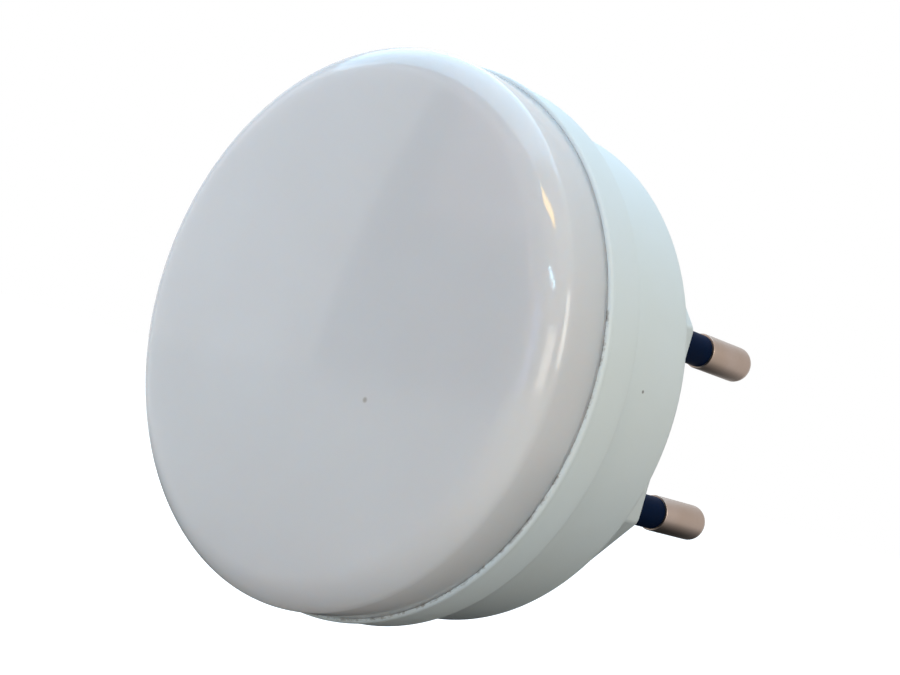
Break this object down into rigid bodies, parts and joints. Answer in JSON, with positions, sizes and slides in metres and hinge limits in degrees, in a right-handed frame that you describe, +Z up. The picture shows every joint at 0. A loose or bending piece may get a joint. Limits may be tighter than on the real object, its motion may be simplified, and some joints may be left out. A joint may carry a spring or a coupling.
{
  "type": "plug-in night light",
  "caption": "Round plug-in LED night light with an opal press-on front, a recessed-socket neck and sleeved round pins.",
  "frame": {"origin": "middle of the plug's face, between the two pins", "axes": "+Y along the pins into the socket, the opal front looks along -Y, +Z up along the line of the two pins"},
  "size_m": [0.0528, 0.0657, 0.0528],
  "materials": {
    "opal_front": "polished opal acrylic",
    "white_inner": "matt white",
    "white_housing": "fine satin",
    "plated_pin": "dull nickel plate",
    "black_sleeve": "smooth moulded",
    "brass_strip": "stamped strip",
    "insulating_plate": "matt",
    "screw_steel": "zinc plated",
    "board_laminate": "solder mask",
    "led_package": "white package with yellow window",
    "black_plastic": "moulded",
    "yellow_film_case": "potted box",
    "blue_can": "shrink sleeve",
    "resistor_coat": "lacquer"
  },
  "bodies": {
    "housing": {"collar": "white_housing", "rear_housing": "white_housing", "pin_upper": "plated_pin", "pin_lower": "plated_pin", "sleeve_upper": "black_sleeve", "sleeve_lower": "black_sleeve", "contact_upper": "brass_strip", "contact_lower": "brass_strip", "pin_retainer": "insulating_plate", "retainer_screw": "screw_steel", "circuit_board": "board_laminate", "board_screws": "screw_steel", "leds": "led_package", "switch_body": "black_plastic", "dropper_capacitor": "yellow_film_case", "smoothing_capacitor": "blue_can", "bridge_rectifier": "black_plastic", "fuse_resistor": "resistor_coat", "bleed_resistors": "resistor_coat"},
    "front": {"diffuser": "opal_front", "reflector_tray": "white_inner", "switch_plunger": "black_plastic"}
  },
  "joints": [
    {"name": "front_press", "type": "slide", "parent": "housing", "child": "front", "axis": [0, 1, 0], "range_m": [0, 0.00025], "stiffness_N_per_m": 2000, "springref_m": -0.0005}
  ]
}
